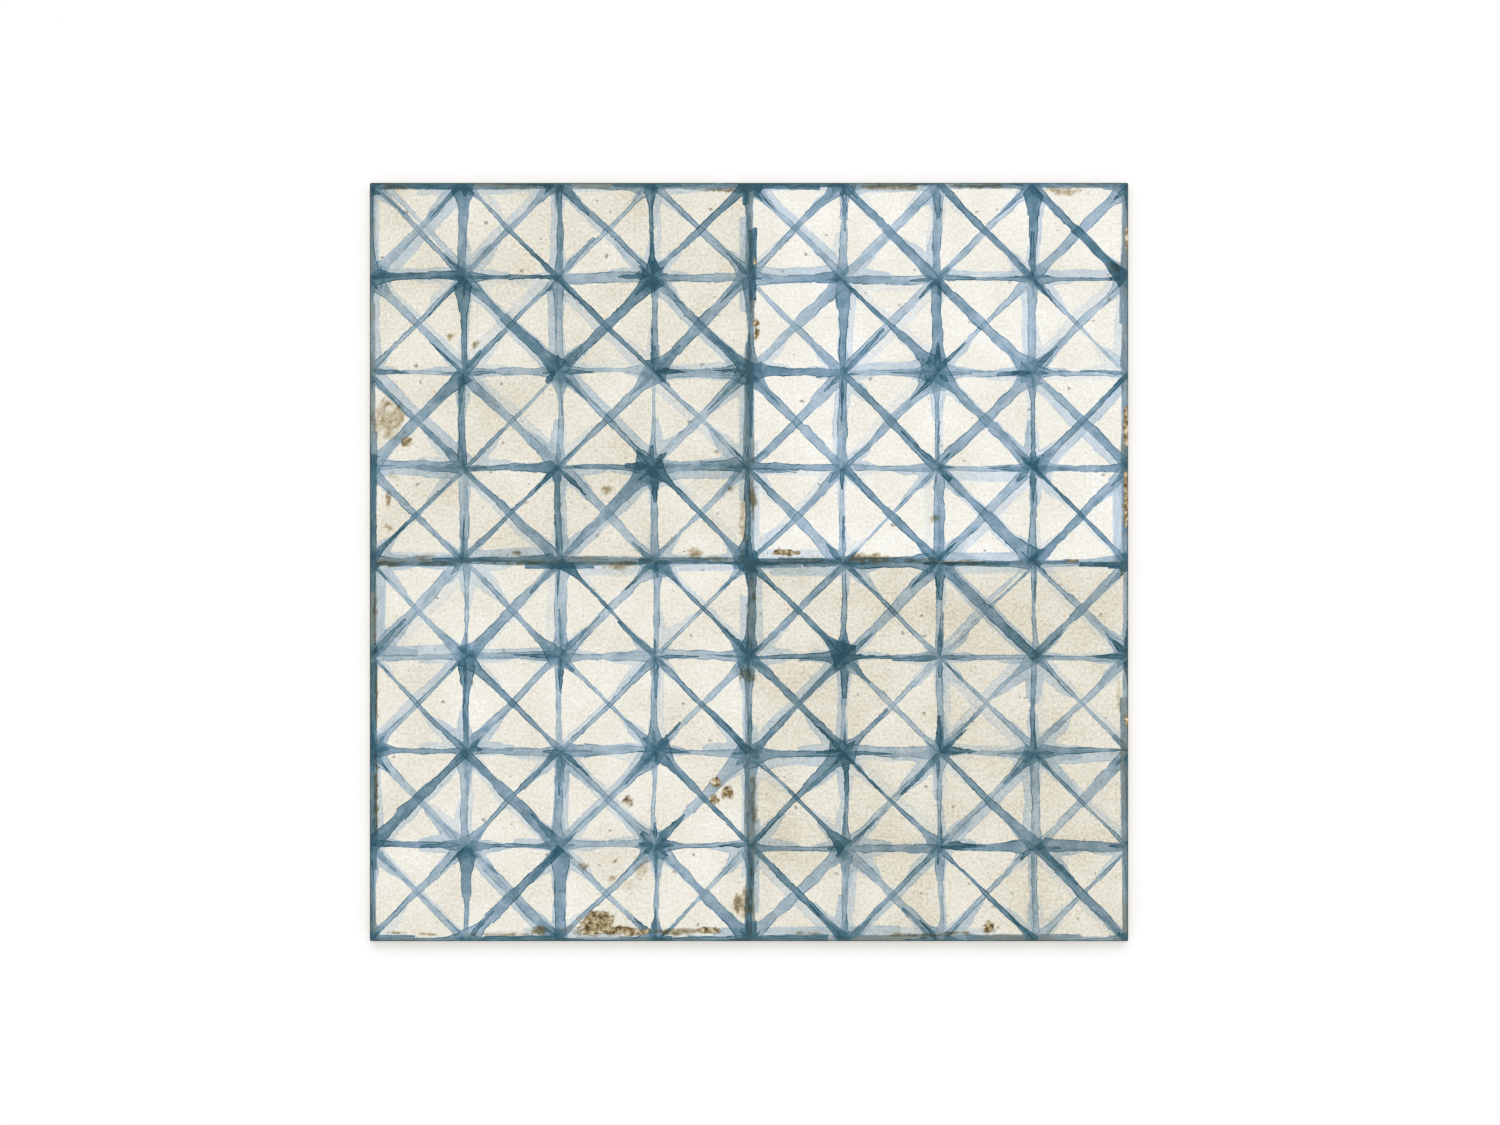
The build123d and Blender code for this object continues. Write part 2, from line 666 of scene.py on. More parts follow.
def lattice_pigment(x_mm, y_mm):
    """Depth of blue over the face: strokes with their washes, then accents, knots and pools."""
    brush = Brush(x_mm, y_mm)
    spoke = Spoke(brush)
    brush.run_together(spoke.distance)
    blue = main_stroke(Line(brush.x, brush.y, "straight"), Seed.STRAIGHT, brush, spoke)
    for kind, seed in (("rising", Seed.RISING), ("falling", Seed.FALLING)):
        blue = over(blue, main_stroke(Line(brush.x, brush.y, kind), seed, brush, spoke), 0.33)
    blue = over(blue, pool(spoke, brush), 0.5)
    blue = over(blue, ray_stroke(spoke, brush, Seed.RAY_AGAIN, *AGAIN), 0.4)
    blue = over(blue, ray_stroke(spoke, brush, Seed.RAY_DARK, *DARK), 0.3)
    blue = over(blue, knot(spoke, brush), 0.15)
    blotch = cloud(x_mm, y_mm, *Clouds.BLOTCH) * 1.1
    mottle = cloud(x_mm, y_mm, *Clouds.MOTTLE) * 0.3
    return blue * (blotch + mottle + 0.95)


# Glaze tints from the most worn to the whitest, and the warm tint of its blush
CREAMS = ((0.0, (192, 181, 153)), (0.5, (231, 228, 214)), (1.0, (255, 255, 252)))
BLUSH = (237, 225, 205)

# How white the lower left quarter is, and what the right ones, the upper ones and the upper right one add
WHITENESS = 0.59
RIGHT_WHITER = -0.17
UPPER_WHITER = -0.10
UPPER_RIGHT_WHITER = 0.42

# Width of a streak over its length, in the glaze and along a border
STREAK_SHAPE = 0.12
BORDER_STREAK_SHAPE = 0.08


def colour_ramp(at, stops):
    """Goes through the colours of the stops, each given by its place from 0 to 1 and its linear colour."""
    node = add_node("ShaderNodeValToRGB")
    plug(node.inputs["Fac"], at)
    elements = node.color_ramp.elements
    elements.remove(elements[1])
    for number, (place, colour) in enumerate(stops):
        element = elements[0] if number == 0 else elements.new(place)
        element.position = place
        element.color = colour
    return Field(node.outputs["Color"])


def screen_stops(stops):
    """The stops with linear colours in place of screen colours."""
    return [(place, rgb(screen)) for place, screen in stops]


def worn_cream(x_mm, y_mm):
    """The glaze under the paint: cream, whiter and tanner in places, with a fine grain and streaks."""
    grain, blush = two_clouds(x_mm, y_mm, *Clouds.CREAM_GRAIN)
    patch = cloud(x_mm, y_mm, *Clouds.PATCH)
    streak = cloud(x_mm * STREAK_SHAPE, y_mm, *Clouds.STREAK)
    right = above(x_mm, QUARTER)
    upper = above(y_mm, QUARTER)
    whiter = right * upper * UPPER_RIGHT_WHITER + right * RIGHT_WHITER + upper * UPPER_WHITER + WHITENESS
    cream = colour_ramp(whiter + patch * 0.8 + grain * 1.2 + streak * 0.2, screen_stops(CREAMS))
    return colour_mix(ramp(blush, -0.1, 0.2, 0.0, 0.3), cream, rgb(BLUSH))


# How the blue looks over the mean cream as more of it is laid: pigment depth and screen colour
MEAN_CREAM = (233, 230, 216)
BLUE_STEPS = (
    (0.25, (199, 209, 212)),
    (0.55, (164, 182, 191)),
    (0.90, (127, 152, 167)),
    (1.30, (93, 126, 141)),
    (1.75, (62, 103, 119)),
    (2.30, (28, 75, 92)),
)
DEEPEST = 2.5


def stained(colour, depth):
    """The colour under the blue, times the light that this depth of blue lets through."""
    stops = [(0.0, (1.0, 1.0, 1.0, 1.0))]
    for at, screen in BLUE_STEPS:
        passed = [shown / under for shown, under in zip(rgb(screen), rgb(MEAN_CREAM))]
        stops.append((at / DEEPEST, passed))
    return colour_mix(1.0, colour, colour_ramp(depth / DEEPEST, stops), "MULTIPLY")


# Borders in mm: how much wider they are at the outer edges, and more so within a reach of the right edge
OUTER_WIDER = 0.6
RIGHT_WIDER = 0.9
RIGHT_REACH = 12.0

# Gap in mm between the noise of one border and the next
LANE = 70.0

# Strokes along a border: length and widths in mm, tones, and softness of the edge
BAND = (75.0, (2.0, 3.7), (0.5, 0.9), 0.6)
BORDER_DARK = (41.0, (1.6, 4.4), (0.9, 1.7), 0.4)
BORDER_WASH = (56.0, (4.0, 9.0), (0.18, 0.42), 1.2)


class Border:
    """The nearest border of the four imitated tiles: the way off it, and its unevenness."""

    def __init__(self, x_mm, y_mm):
        column = nearest(x_mm / QUARTER)
        row = nearest(y_mm / QUARTER)
        off_x = x_mm - column * QUARTER
        off_y = y_mm - row * QUARTER
        upright = above(abs(off_y), abs(off_x))
        number = choose(upright, column, row)
        signed = choose(upright, off_x, off_y)
        along = choose(upright, y_mm, x_mm)
        self.side = number * 2.0 + upright * 7.0 + above(signed, 0.0)
        lane = self.side * LANE
        self.off = lower(abs(off_x), abs(off_y))
        self.outer = above(abs(number - 1.0), 0.5)
        self.inside = self.off - self.outer * OUTER_WIDER - above(x_mm, SIDE - RIGHT_REACH) * RIGHT_WIDER
        self.from_corner = higher(abs(off_x), abs(off_y))
        self.quick = cloud(along, lane + self.off, *Clouds.BORDER_QUICK)
        self.streak = cloud(along * BORDER_STREAK_SHAPE, lane + signed, *Clouds.BORDER_STREAK)
        self.worn = cloud(along, lane, *Clouds.BORDER_WORN)
        self.along = along + self.quick * 8.0

    def stroke(self, seed, chance, length, widths, tones, softness):
        """Pigment of short strokes laid end to end along the border, some of them left out."""
        place = self.along / length + self.side * 0.37
        segment = floor_of(place)
        width, strength, luck = dice(self.side, segment, seed)
        wedge = (place - segment) * (strength - 0.5) * 2.0
        depth = between(width, widths) + wedge + self.quick * 1.3 - self.inside
        return pigment(depth - above(luck, chance) * ABSENT, between(strength, tones), softness)

    def pigment(self):
        """A greyish band along the border, dark strokes over it, a pale wash beyond, and corner blots."""
        self.band = self.stroke(Seed.BORDER_BAND, self.outer * 0.5 + 0.65, *BAND)
        dark = self.stroke(Seed.BORDER_DARK, 0.45, *BORDER_DARK)
        wash = self.stroke(Seed.BORDER_WASH, 0.5, *BORDER_WASH)
        corner = pigment(self.quick * 12.0 + 5.0 - self.from_corner, 1.6, 0.4)
        return higher(higher(higher(self.band, dark), wash) * (self.streak * 1.3 + 1.0), corner)

    def line(self):
        """The thin dark line on the border itself, broken in places: a printed seam at the joint, and at the
        outer edges, where it is stronger, also painted shade of the arris.
        """
        # More of the line at the outer edges: painted shade of the arris there
        whole = ramp(self.quick + self.outer * 0.2, -0.15, 0.3, 0.0, 0.85)
        return ramp(self.off, 0.4, 1.1, 1.0, 0.0) * whole


# Specks: the side of the squares they are thrown into, and the radius of the largest, in mm
SPECK_PITCH = 12.5
LARGEST_SPECK = 1.6


def specks(x_mm, y_mm):
    """Small dark spots thrown over the face, at most one in each square."""
    column = floor_of(x_mm / SPECK_PITCH)
    row = floor_of(y_mm / SPECK_PITCH)
    at_x, at_y, size = dice(column, row, Seed.SPECKS)
    dx = x_mm - (column + at_x * 0.8 + 0.1) * SPECK_PITCH
    dy = y_mm - (row + at_y * 0.8 + 0.1) * SPECK_PITCH
    radius = power(size, 6.0) * LARGEST_SPECK
    return ramp(distance_of(dx, dy), radius * 0.5, radius, 1.0, 0.0) * above(size, 0.4)


# Browns of the body where the glaze is gone, from its holes to its crumbs
BROWNS = ((0.20, (58, 45, 26)), (0.36, (120, 100, 66)), (0.55, (168, 150, 114)), (0.82, (226, 216, 190)))

# Screen colours of a greyed border, the line on it, which at the outer edges is partly painted shade of the
# arris, thick dirt, specks, and the painted shade on a chip's surround and rim, where its hollow slopes down
BAND_GREY = (122, 124, 108)
BORDER_LINE_AND_ARRIS_SHADE = (62, 80, 80)
DIRT_CORE = (84, 70, 44)
SPECK = (112, 98, 70)
CHIP_WALL_SHADE = (138, 128, 98)
CHIP_RIM_SHADE = (92, 74, 46)


def attribute(name):
    """A number that the mesh keeps at each of its points."""
    return Field(add_node("ShaderNodeAttribute", attribute_name=name).outputs["Fac"])


# Linear share of the light that a film of dirt lets through
DIRT_FILM = (0.53, 0.45, 0.30, 1.0)


def greyed_border(colour, border, blue, fine):
    """The painted glaze with the grey wear of its borders and the dark line on them, which at the outer
    edges is also painted shade of the arris.
    """
    greyed = ramp(border.worn * 1.5 + border.streak * 0.7 + fine * 0.3, -0.15, 0.15, 0.2, 0.9)
    greyed = greyed * ramp(blue, 1.1, 1.8, 1.0, 0.1)
    colour = colour_mix(border.band * greyed, colour, rgb(BAND_GREY))
    # The dark line: a printed seam, and at the outer edges also painted shade of the arris
    return colour_mix(border.line(), colour, rgb(BORDER_LINE_AND_ARRIS_SHADE))


def dirtied(colour, x_mm, y_mm, blue, fine, holes):
    """The glaze with its smudges and its specks."""
    smudge = attribute("dirt") * (holes * 1.6 + fine * 1.2 + 1.0)
    colour = colour_mix(ramp(smudge, 0.05, 0.75), colour, DIRT_FILM, "MULTIPLY")
    colour = colour_mix(ramp(smudge, 0.5, 1.1) * 0.65, colour, rgb(DIRT_CORE))
    spots = specks(x_mm + fine * 5.0, y_mm + holes * 4.0) * ramp(blue, 0.2, 0.7, 0.65, 0.1)
    return colour_mix(spots, colour, rgb(SPECK))


def chipped_colour(colour, chip, fine, holes):
    """The glaze with the rusty body that shows in its chips, and painted shade darkening the sloping wall
    round each chip.
    """
    # Painted shade: the glaze round a chip darkens where its hollow begins to slope down
    colour = colour_mix(ramp(chip + fine * 0.5, 0.08, 0.5) * 0.5, colour, rgb(CHIP_WALL_SHADE))
    rust = colour_ramp(holes * 1.6 + fine * 0.5 + 0.5, screen_stops(BROWNS))
    ragged = chip + fine * 0.7
    # Painted shade: the bare body darkens along the rim of the chip's hollow
    rust = colour_mix(ramp(ragged, 0.5, 0.75, 0.6, 0.0), rust, rgb(CHIP_RIM_SHADE))
    return colour_mix(ramp(ragged, 0.45, 0.6), colour, rust)


def worn_colour(colour, x_mm, y_mm, border, blue, chip):
    """The painted glaze with the grey of the border, its dark line that is partly painted shade at the outer
    edges, the dirt, the specks, and the chips with painted shade on their walls.
    """
    fine = cloud(x_mm, y_mm, *Clouds.FINE)
    holes = cloud(x_mm, y_mm, *Clouds.HOLES)
    colour = greyed_border(colour, border, blue, fine)
    colour = dirtied(colour, x_mm, y_mm, blue, fine, holes)
    return chipped_colour(colour, chip, fine, holes)


# Gloss: how rough the glaze, its chips and the body are, and how strongly they shine
GLAZE_ROUGHNESS = 0.45
CHIP_ROUGHNESS = 0.85
BODY_ROUGHNESS = 0.9
SHINE = 0.25


def start_material(name):
    """A new material whose tree the painting functions then write, with its shader."""
    material = bpy.data.materials.new(name)
    write_into(material)
    shader = Tree.nodes["Principled BSDF"]
    plug(shader.inputs["Specular IOR Level"], SHINE)
    return material, shader


def place_in_mm():
    """The place on the tile in mm from its near left bottom corner."""
    x, y, z = parts_of(Field(add_node("ShaderNodeTexCoord").outputs["Object"]))
    return x / MM + SIDE / 2, y / MM + SIDE / 2, z / MM


def add_bump(shader, height_mm, strength):
    bump = add_node("ShaderNodeBump")
    plug(bump.inputs["Strength"], strength)
    plug(bump.inputs["Distance"], MM)
    plug(bump.inputs["Height"], height_mm)
    plug(shader.inputs["Normal"], bump.outputs["Normal"])


def upward():
    """How far a surface faces up: 1 on the face, 0 on the sides and -1 on the back."""
    return parts_of(Field(add_node("ShaderNodeNewGeometry").outputs["Normal"]))[2]


def face_material():
    """Painted glaze of the face and its arris."""
    material, shader = start_material("worn painted glaze")
    x_mm, y_mm, _ = place_in_mm()
    facing = upward()
    border = Border(x_mm, y_mm)
    blue = over(lattice_pigment(x_mm, y_mm), border.pigment(), 0.3)
    blue = blue * ramp(facing, 0.1, 0.8, 0.4, 1.0)
    chip = attribute("chip")
    painted = stained(worn_cream(x_mm, y_mm), blue)
    plug(shader.inputs["Base Color"], worn_colour(painted, x_mm, y_mm, border, blue, chip))
    plug(shader.inputs["Roughness"], ramp(chip, 0.3, 0.6, GLAZE_ROUGHNESS, CHIP_ROUGHNESS))
    add_bump(shader, cloud(x_mm, y_mm, *Clouds.GLAZE_BUMP) * 0.08, 0.5)
    return material


def pocket_share(z_mm):
    """0 on the ribs and the border of the back, 1 on the floors of its pockets, and 0 on the sides."""
    return ramp(z_mm, 0.05, 0.7) * ramp(upward(), -0.5, -0.3, 1.0, 0.0)


# Screen colours of the fired body: its darker and paler drifts, the pockets, darker partly as painted shade
# in their recesses, the kiln wash and the grit
BUFF_DARK = (184, 161, 130)
BUFF_PALE = (214, 197, 170)
POCKET_BUFF_AND_SHADE = (172, 147, 115)
KILN_WASH = (232, 225, 210)
GRIT = (120, 98, 74)

# How far the glaze's pattern shifts for each mm of height, so that it doesn't draw out down the sides
SIDE_SHIFT = (3.1, -2.3)


def biscuit(x_mm, y_mm, z_mm, grain):
    """The bare body: buff with fine grains, pockets darker partly as painted shade in their recesses, and
    pale kiln wash on the ribs.
    """
    drift = cloud(x_mm, y_mm, *Clouds.BODY_DRIFT, z_mm)
    buff = colour_mix(ramp(drift * 0.7 + grain, -0.25, 0.25), rgb(BUFF_DARK), rgb(BUFF_PALE))
    sunk = pocket_share(z_mm)
    # Darker towards the floors of the pockets: partly the body's own dustier buff, partly painted shade in
    # the recesses
    buff = colour_mix(sunk * 0.8, buff, rgb(POCKET_BUFF_AND_SHADE))
    wash = cloud(x_mm, y_mm, *Clouds.KILN_WASH, z_mm)
    washed = ramp(wash + drift * 0.6, -0.1, 0.25) * (1.0 - sunk) * 0.75
    buff = colour_mix(washed, buff, rgb(KILN_WASH))
    return colour_mix(ramp(grain, -0.12, -0.26), buff, rgb(GRIT))


def body_material():
    """Sides and back: bare biscuit, and glaze that ran over the rim."""
    material, shader = start_material("fired body")
    x_mm, y_mm, z_mm = place_in_mm()
    grain = cloud(x_mm, y_mm, *Clouds.BODY_GRAIN, z_mm)
    buff = biscuit(x_mm, y_mm, z_mm, grain)

    run = cloud(x_mm, y_mm, *Clouds.GLAZE_EDGE)
    glazed = ramp(z_mm + run * GLAZE_RUN, GLAZE_LINE - 0.2, GLAZE_LINE + 0.2)
    blue = ramp(z_mm + run * (GLAZE_RUN * 2), GLAZE_LINE, TOP / MM, 0.0, 0.9)
    cream = worn_cream(x_mm + z_mm * SIDE_SHIFT[0], y_mm + z_mm * SIDE_SHIFT[1])
    plug(shader.inputs["Base Color"], colour_mix(glazed, buff, stained(cream, blue)))
    plug(shader.inputs["Roughness"], ramp(glazed, 0.0, 1.0, BODY_ROUGHNESS, GLAZE_ROUGHNESS))
    add_bump(shader, grain * (1.0 - glazed * 0.8) * 0.25, 0.6)
    return material


# Shape of the worn tile: a fine grid in place of the flat face, pitted by chips, and a nicked arris
def values_of(items, name, kind=float, width=1):
    """One property of all the points, corners or faces of a mesh."""
    values = np.empty(len(items) * width, kind)
    items.foreach_get(name, values)
    return values.reshape(-1, width) if width > 1 else values


def places_of(mesh):
    return values_of(mesh.vertices, "co", width=3)


def edge_sizes(places):
    """Arris radius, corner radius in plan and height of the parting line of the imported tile, in metres."""
    flat_top = places[places[:, 2] > TOP - TOUCH]
    widest = places[places[:, 0] > HIGH.x - TOUCH]
    return HIGH.x - flat_top[:, 0].max(), HIGH.x - widest[:, 1].max(), widest[:, 2].min()


def grid_lines(reach):
    """Places of the grid lines along one axis, from -reach to reach."""
    lines = [0.0]
    while lines[-1] < reach:
        from_border = min(lines[-1], HIGH.x - lines[-1])
        lines.append(lines[-1] + (FINE_GRID if from_border < FINE_REACH else COARSE_GRID))
    half = np.array(lines[1:]) * (reach / lines[-1])
    return np.concatenate((-half[::-1], [0.0], half))


def outline(lines, corner_radius):
    """Points round the outer edge and the way out at each, counter-clockwise from the near left corner."""
    middle = HIGH.x - corner_radius
    turns = [-pi / 2 + pi / 2 * step / CORNER_STEPS for step in range(CORNER_STEPS + 1)]
    side = [((x, -HIGH.x), (0.0, -1.0)) for x in lines]
    for turn in turns:
        out = (cos(turn), sin(turn))
        side.append(((middle + corner_radius * out[0], -middle + corner_radius * out[1]), out))
    side = np.array(side)
    sides = [side]
    for _ in range(3):
        last = sides[-1]
        sides.append(np.stack((-last[..., 1], last[..., 0]), axis=-1))
    whole = np.concatenate(sides)
    return whole[:, 0], whole[:, 1]


def off_centre(points, x, y, half_x, half_y):
    """How many half sizes each point lies from the centre of a mark."""
    return np.hypot((points[:, 0] / MM - x) / half_x, (points[:, 1] / MM - y) / half_y)


def chip_shape(points):
    """For points on the face, in metres: how chipped each is, from 0 to 1, and how deep."""
    chipped = np.zeros(len(points))
    depth = np.zeros(len(points))
    for x, y, half_x, half_y, deep, bareness in CHIPS:
        off = off_centre(points, x, y, half_x, half_y)
        for at in np.nonzero(off < CHIP_REACH)[0]:
            px, py = points[at] / MM
            lumps = noise.fractal(Vector((px / CHIP_LUMP, py / CHIP_LUMP, x)), 0.6, 2.0, 3)
            pits = noise.noise(Vector((px / CHIP_PIT, py / CHIP_PIT, y)))
            inside = np.clip((1.15 + lumps * 0.55 - off[at]) / CHIP_SOFTNESS, 0.0, 1.0)
            chipped[at] = max(chipped[at], inside * bareness)
            depth[at] = max(depth[at], inside * deep * (0.75 + 0.5 * pits) * MM)
    return chipped, depth


def dirt_shape(points):
    """How dirty each point of the face is, from 0 to 1."""
    dirt = np.zeros(len(points))
    for x, y, half_x, half_y, strength in MARKS:
        off = off_centre(points, x, y, half_x, half_y)
        for at in np.nonzero(off < DIRT_REACH)[0]:
            px, py = points[at] / MM
            lumps = noise.fractal(Vector((px / DIRT_LUMP, py / DIRT_LUMP, x + y)), 0.6, 2.0, 3)
            dirt[at] = max(dirt[at], np.clip(1.6 + lumps * 0.9 - off[at], 0.0, 1.0) * strength)
    return dirt


def dips(points):
    """How far the glaze dips at each point, gently and not at the edge."""
    depth = np.empty(len(points))
    for at, (x, y) in enumerate(points):
        lump = noise.noise(Vector((x, y, 0.0)) / DIP_SIZE) * 0.5 + 0.5
        from_edge = HIGH.x - max(abs(x), abs(y))
        depth[at] = DIP * lump * min(from_edge / FINE_REACH, 1.0)
    return depth


def nicks(points):
    """How far the arris is nicked at each point round the edge, from 0 to 1."""
    worn = [noise.fractal(Vector((x, y, TOP)) / NICK_SIZE, 0.7, 2.0, 3) for x, y in points]
    return np.clip((np.array(worn) - 0.6) * 1.8, 0.0, 1.0)


# Map for baked colours: shares of its side for the face and the back, and the gap between its pieces
FACE_SHARE = 0.84
BACK_SHARE = 0.14
MAP_GAP = 0.004

# How near the edge the faces of the sides lie, as a share of the tile's side
SIDE_REACH = 0.004


def add_bake_map(mesh):
    """Lays the face out large, the sides in four strips above it, and the back small beside it."""
    counts = values_of(mesh.polygons, "loop_total", int)
    slots = np.repeat(values_of(mesh.polygons, "material_index", int), counts)
    normals = np.repeat(values_of(mesh.polygons, "normal", width=3), counts, axis=0)
    corners = values_of(mesh.loops, "vertex_index", int)
    places = places_of(mesh)[corners] / (SIDE * MM)
    across = places[:, :2] + 0.5

    layout = across * BACK_SHARE + (FACE_SHARE + MAP_GAP, 0.0)
    layout[slots == FACE] = across[slots == FACE] * FACE_SHARE
    strip = TOP / (SIDE * MM) * FACE_SHARE + MAP_GAP
    outer = (slots == BODY) & (np.abs(places[:, :2]).max(axis=1) > 0.5 - SIDE_REACH)
    for number, (axis, sign) in enumerate(((0, 1.0), (0, -1.0), (1, 1.0), (1, -1.0))):
        facing = outer & (normals[:, axis] * sign > 0.7)
        layout[facing, 0] = across[facing, 1 - axis] * FACE_SHARE
        layout[facing, 1] = places[facing, 2] * FACE_SHARE + FACE_SHARE + MAP_GAP + strip * number
    mesh.uv_layers.new(name="OFBake").uv.foreach_set("vector", layout.ravel())


class TileMesh:
    """The mesh being built, with how chipped and how dirty each of its new points is."""

    def __init__(self, packed):
        self.bm = bmesh.new()
        self.bm.from_mesh(packed)
        bmesh.ops.remove_doubles(self.bm, verts=self.bm.verts, dist=TOUCH)
        self.chip = self.bm.verts.layers.float.new("chip")
        self.dirt = self.bm.verts.layers.float.new("dirt")

    def add_points(self, points, heights, chipped):
        verts = []
        for (x, y), height, bare, dirt in zip(points, heights, chipped, dirt_shape(points)):
            vert = self.bm.verts.new((x, y, height))
            vert[self.chip] = bare
            vert[self.dirt] = dirt
            verts.append(vert)
        return verts

    def add_face(self, verts, slot):
        corners = list(dict.fromkeys(verts))
        self.bm.faces.new(corners).material_index = slot

    def add_band(self, upper_ring, ring, slot):
        """Faces between two rings of as many points."""
        for at in range(len(ring)):
            after = (at + 1) % len(ring)
            self.add_face((ring[at], ring[after], upper_ring[after], upper_ring[at]), slot)

    def finished(self, name):
        mesh = bpy.data.meshes.new(name)
        self.bm.to_mesh(mesh)
        self.bm.free()
        mesh.shade_smooth()
        mesh.set_sharp_from_angle(angle=SHARP)
        return mesh


def keep_flank_and_back(bm, parting):
    """Takes the face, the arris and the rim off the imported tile, and gives the edges left open."""
    for face in bm.faces:
        face.material_index = BODY
    upper = [face for face in bm.faces if max(vert.co.z for vert in face.verts) > parting + TOUCH]
    bmesh.ops.delete(bm, geom=upper, context="FACES")
    return [edge for edge in bm.edges if edge.is_boundary]


def add_face_grid(work, lines):
    """The flat part of the face as a grid, with its chips and dips."""
    across = len(lines)
    points = np.array([(x, y) for y in lines for x in lines])
    chipped, depth = chip_shape(points)
    grid = work.add_points(points, TOP - depth - dips(points), chipped)
    for row in range(across - 1):
        for column in range(across - 1):
            corner = row * across + column
            quad = (corner, corner + 1, corner + across + 1, corner + across)
            work.add_face([grid[number] for number in quad], FACE)
    return grid


def grid_border(grid, across):
    """Points round the grid, one for each of the outline's, so that its corner points repeat."""
    near = grid[:across]
    right = grid[across - 1::across]
    far = grid[-across:][::-1]
    left = grid[::across][::-1]
    border = []
    for side in (near, right, far, left):
        border += side + side[-1:] * (CORNER_STEPS + 1)
    return border


def add_arris(work, edge, out, arris, upper_ring):
    """Rings over the arris, nicked and chipped, from the border of the grid. Gives the last of them."""
    nicked = nicks(edge)
    for step in range(ARRIS_STEPS + 1):
        turn = step / ARRIS_STEPS * pi / 2
        bitten = nicked * NICK * sin(turn * 2)
        points = edge - out * (arris * (1 - sin(turn)))
        chipped, low = chip_shape(points)
        heights = TOP - arris * (1 - cos(turn)) - (bitten + low * (1.0 - step / ARRIS_STEPS))
        bare = np.maximum(chipped, nicked * NICK_BARENESS)
        ring = work.add_points(points - out * bitten[:, None], heights, bare)
        work.add_band(upper_ring, ring, FACE)
        upper_ring = ring
    return upper_ring


def add_rim(work, edge, arris, parting, upper_ring):
    """Rings down the straight rim, to a little above the parting line."""
    rim_top = TOP - arris
    for step in range(1, RIM_STEPS + 1):
        height = rim_top + (parting - rim_top) * RIM_SHARE * step / RIM_STEPS
        ring = work.add_points(edge, np.full(len(edge), height), np.zeros(len(edge)))
        work.add_band(upper_ring, ring, BODY)
        upper_ring = ring


def join_rim_to_flank(bm, packed_loop):
    known = set(packed_loop)
    ring_loop = [edge for edge in bm.edges if edge.is_boundary and edge not in known]
    strip = bmesh.ops.bridge_loops(bm, edges=packed_loop + ring_loop)["faces"]
    for face in strip:
        face.material_index = BODY
    bmesh.ops.recalc_face_normals(bm, faces=strip)


def worn_tile():
    """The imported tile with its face, arris and rim replaced by finer ones that carry the wear."""
    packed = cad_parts["floor_tile"].data
    arris, corner_radius, parting = edge_sizes(places_of(packed))
    work = TileMesh(packed)
    packed_loop = keep_flank_and_back(work.bm, parting)
    lines = grid_lines(HIGH.x - arris - COLLAR)
    grid = add_face_grid(work, lines)
    edge, out = outline(lines, corner_radius)
    ring = add_arris(work, edge, out, arris, grid_border(grid, len(lines)))
    add_rim(work, edge, arris, parting, ring)
    join_rim_to_flank(work.bm, packed_loop)
    mesh = work.finished("worn_floor_tile")
    add_bake_map(mesh)
    tile = bpy.data.objects.new("worn_floor_tile", mesh)
    bpy.context.collection.objects.link(tile)
    return tile


def seen_by_camera():
    """1 for rays that show the stage to the camera, straight or in gloss or glass, and 0 for its light."""
    path = add_node("ShaderNodeLightPath")
    rays = [Field(path.outputs[name]) for name in ("Is Camera Ray", "Is Glossy Ray", "Is Transmission Ray")]
    return higher(higher(rays[0], rays[1]), rays[2])


def mix_shaders(factor, first, second):
    node = add_node("ShaderNodeMixShader")
    for socket, value in zip(node.inputs, (factor, first, second)):
        plug(socket, value)
    return node.outputs[0]


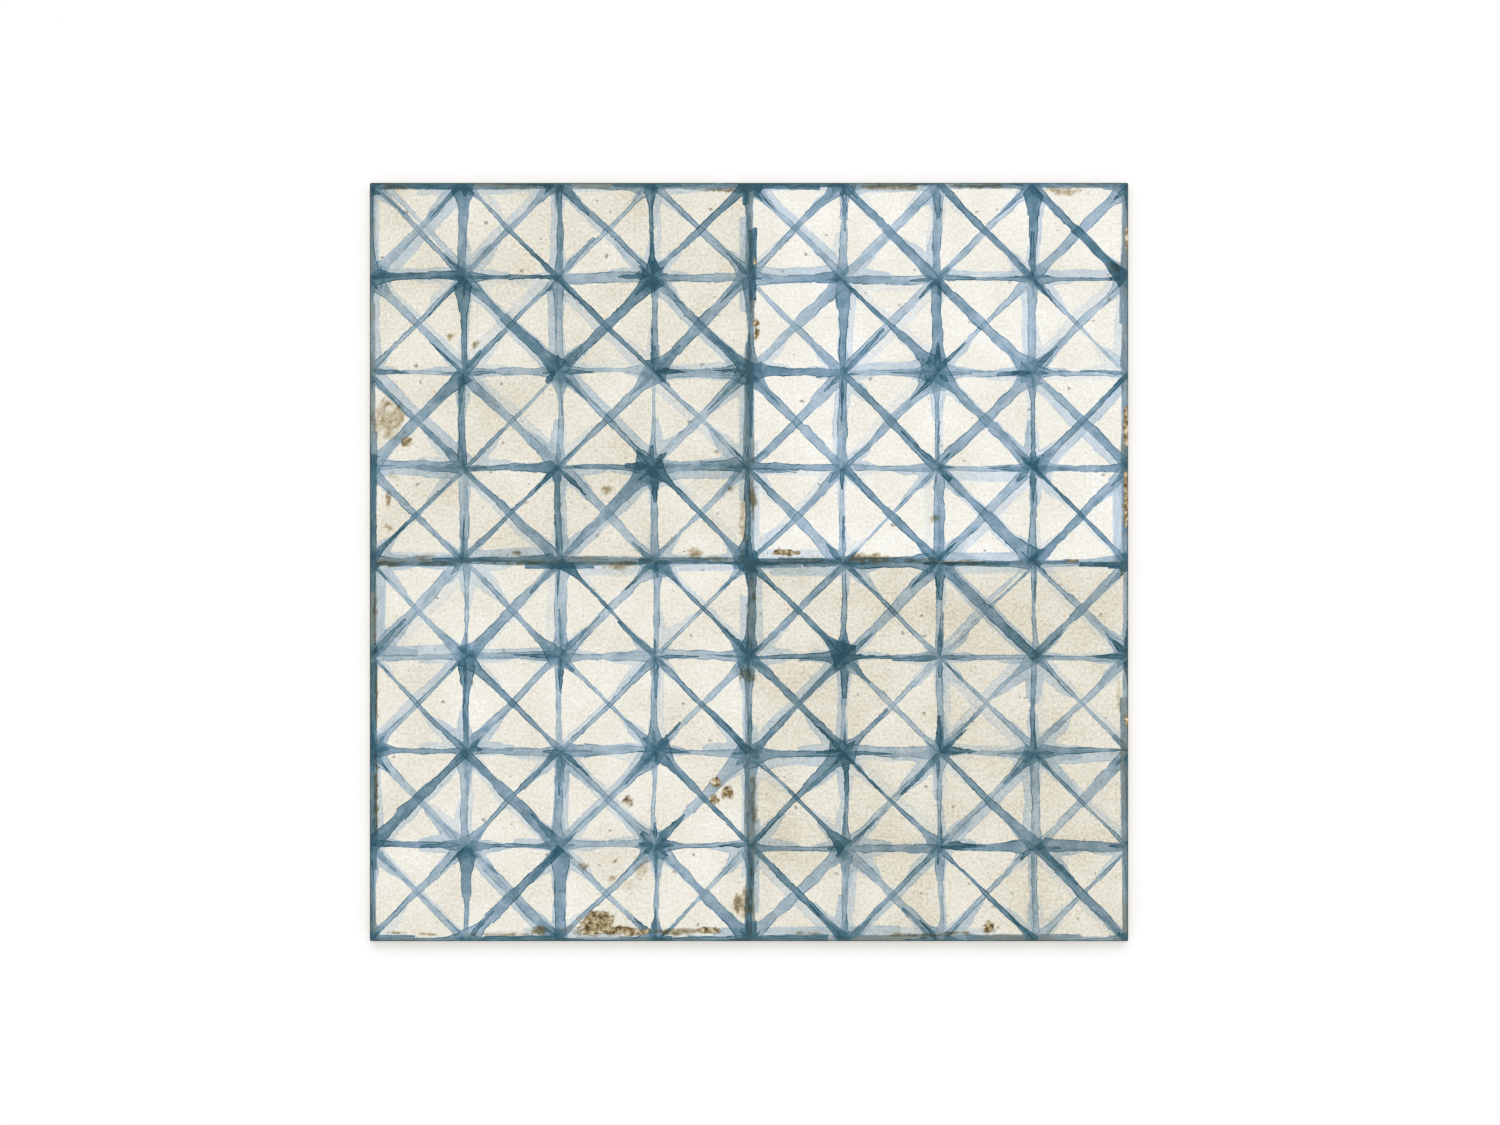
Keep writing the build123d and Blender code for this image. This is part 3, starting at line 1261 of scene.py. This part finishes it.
def floor_material():
    """White to the camera, shaded near the tile, and clear from below so that the back can be seen."""
    material, glossy = start_material("white floor")
    Tree.nodes.remove(glossy)
    seen = seen_by_camera()
    x, y, _ = parts_of(Field(add_node("ShaderNodeTexCoord").outputs["Object"]))
    clear = ramp(higher(abs(x), abs(y)), HIGH.x + SHADOW_REACH, HIGH.x + 2 * SHADOW_REACH)
    matt = add_node("ShaderNodeBsdfDiffuse")
    plug(matt.inputs["Color"], (FLOOR_SHADED, FLOOR_SHADED, FLOOR_SHADED, 1))
    glow = add_node("ShaderNodeEmission")
    plug(glow.inputs["Strength"], seen * FLOOR_GLOW)
    shaded = add_node("ShaderNodeAddShader")
    plug(shaded.inputs[0], matt.outputs[0])
    plug(shaded.inputs[1], glow.outputs[0])
    white = add_node("ShaderNodeEmission").outputs[0]
    upper_side = mix_shaders(seen * clear, shaded.outputs[0], white)
    underneath = add_node("ShaderNodeBsdfTransparent").outputs[0]
    from_below = add_node("ShaderNodeNewGeometry").outputs["Backfacing"]
    plug(Tree.nodes["Material Output"].inputs["Surface"], mix_shaders(from_below, upper_side, underneath))
    return material


def add_floor():
    """White floor that keeps the shadow but casts no light or shadow on the tile."""
    bpy.ops.mesh.primitive_plane_add(size=FLOOR_SIZE, location=(0, 0, LOW.z - FLOOR_DROP))
    floor = bpy.context.object
    floor.name = "floor"
    floor.visible_diffuse = False
    floor.visible_shadow = False
    floor.data.materials.append(floor_material())


def add_light():
    """Plain light from all round, and a wide key light from the far side."""
    world = bpy.data.worlds.new("soft light")
    bpy.context.scene.world = world
    write_into(world)
    plug(Tree.nodes["Background"].inputs["Color"], (1, 1, 1, 1))
    plug(Tree.nodes["Background"].inputs["Strength"], choose(seen_by_camera(), 1.0, SKY))

    sun = bpy.data.lights.new("key", "SUN")
    sun.energy = (1.0 - SKY) * pi / cos(KEY_TILT)
    sun.angle = KEY_SPREAD
    key = bpy.data.objects.new("key", sun)
    key.rotation_euler = (-KEY_TILT, 0, 0)
    bpy.context.collection.objects.link(key)


def add_camera():
    """A camera that looks straight down and shows the tile where the photograph does."""
    camera_data = bpy.data.cameras.new("camera")
    camera = bpy.data.objects.new("camera", camera_data)
    bpy.context.collection.objects.link(camera)
    bpy.context.scene.camera = camera
    metres_a_pixel = SIDE * MM / TILE_SIDE_PX
    camera_data.sensor_fit = "HORIZONTAL"
    camera_data.angle = 2 * atan(PHOTO_WIDTH * metres_a_pixel / 2 / (CAMERA_HEIGHT - TOP))
    camera.location = (
        (PHOTO_WIDTH / 2 - TILE_CENTRE_PX[0]) * metres_a_pixel,
        (TILE_CENTRE_PX[1] - PHOTO_HEIGHT / 2) * metres_a_pixel,
        CAMERA_HEIGHT,
    )


tile = worn_tile()
tile.data.materials.append(face_material())
tile.data.materials.append(body_material())
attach(tile, "root")
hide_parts("floor_tile")
add_floor()
add_light()
add_camera()
bpy.context.scene.view_settings.view_transform = "Standard"
